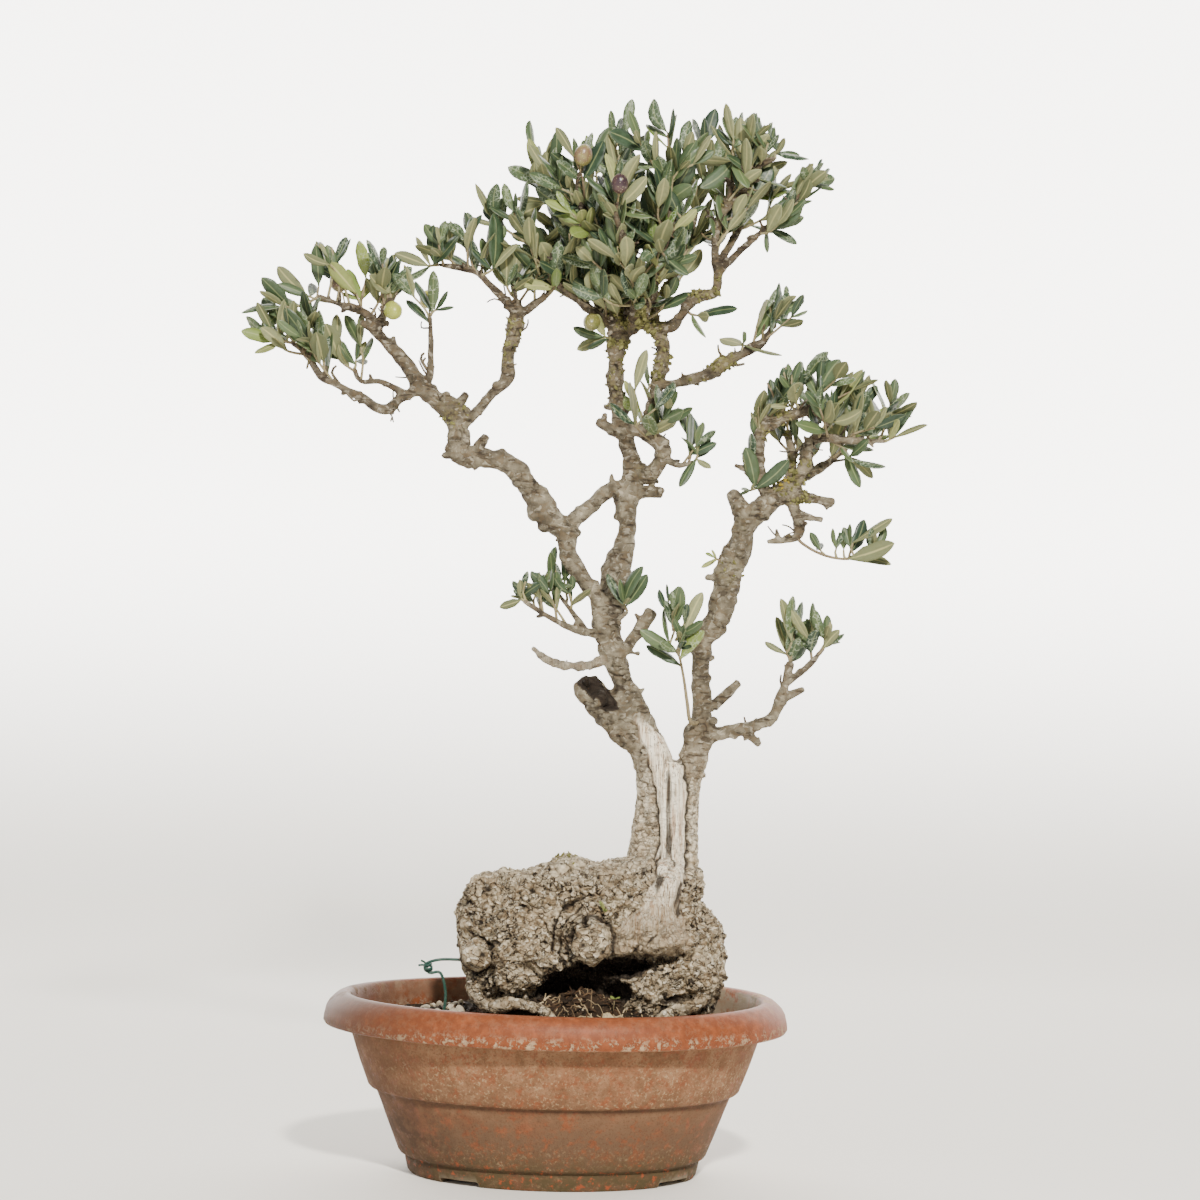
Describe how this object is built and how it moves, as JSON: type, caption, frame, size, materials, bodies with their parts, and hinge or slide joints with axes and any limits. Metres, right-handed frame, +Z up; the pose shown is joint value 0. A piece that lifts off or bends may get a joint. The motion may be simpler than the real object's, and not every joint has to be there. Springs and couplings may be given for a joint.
{
  "type": "olive bonsai",
  "caption": "Old olive bonsai on a swollen burl, with leafy shoots and small fruit, standing in the soil of a wide oval terracotta-coloured pot.",
  "frame": {"origin": "centre of the pot's flat base, on the surface that it stands on", "axes": "+Z up along the tree; +X to the right seen from the tree's front; the front looks along -Y"},
  "size_m": [0.4896, 0.2506, 0.7814],
  "materials": {
    "pot": "weathered matte terracotta-coloured plastic with lime bloom",
    "soil": "dry crumbly potting soil",
    "bark": "rough flaking bark with bare silvery deadwood",
    "tie": "matte coated wire",
    "fruit_green": "satin fruit skin",
    "fruit_purple": "satin fruit skin with bloom",
    "leaf": "leathery leaf, grey-green above and silvery below",
    "leaf_young": "young yellow-green leaf"
  },
  "bodies": {
    "root": {"pot": "pot", "soil": "soil", "wood": "bark", "plant_tie": "tie", "olive_1": "fruit_green", "olive_2": "fruit_green", "olive_3": "fruit_purple", "olive_4": "fruit_green", "olive_5": "fruit_purple", "olive_6": "fruit_green", "spray_left_end": "leaf", "spray_left_top": "leaf", "spray_left_bright": "leaf_young", "spray_left_fork": "leaf", "spray_left_low": "leaf", "spray_left_low_inner": "leaf", "spray_left_riser": "leaf", "spray_mid_left_tip": "leaf", "spray_mid_left_rise": "leaf", "spray_mid_left_fork": "leaf", "spray_mid_left_twig": "leaf", "spray_column_left": "leaf", "spray_column_spray": "leaf", "spray_column_right": "leaf", "spray_lichen_end": "leaf", "spray_lichen_mid": "leaf", "spray_crown_low_right": "leaf", "spray_crown_left_tip": "leaf", "spray_crown_left_low": "leaf", "spray_crown_upper_left": "leaf", "spray_crown_front_left": "leaf", "spray_crown_top": "leaf", "spray_crown_top_right": "leaf", "spray_crown_mid_right": "leaf", "spray_crown_back_right": "leaf", "spray_crown_rear": "leaf", "spray_crown_face": "leaf", "spray_crown_right_tip": "leaf", "spray_crown_stub": "leaf", "spray_crown_stub_low": "leaf", "spray_crown_far_right": "leaf", "spray_crown_right_low": "leaf", "spray_crown_right_back": "leaf", "spray_right_arm_tip": "leaf", "spray_right_arm_top": "leaf", "spray_right_end": "leaf", "spray_right_under": "leaf", "spray_right_back": "leaf_young", "spray_right_inner": "leaf", "spray_hanging": "leaf", "spray_low_right_tip": "leaf", "spray_low_right_fork": "leaf", "spray_low_left_tip": "leaf", "spray_low_left_side": "leaf", "spray_low_centre": "leaf", "spray_thin_shoot": "leaf", "spray_burl_shoot": "leaf_young", "spray_limb_shoot": "leaf_young"}
  },
  "joints": []
}
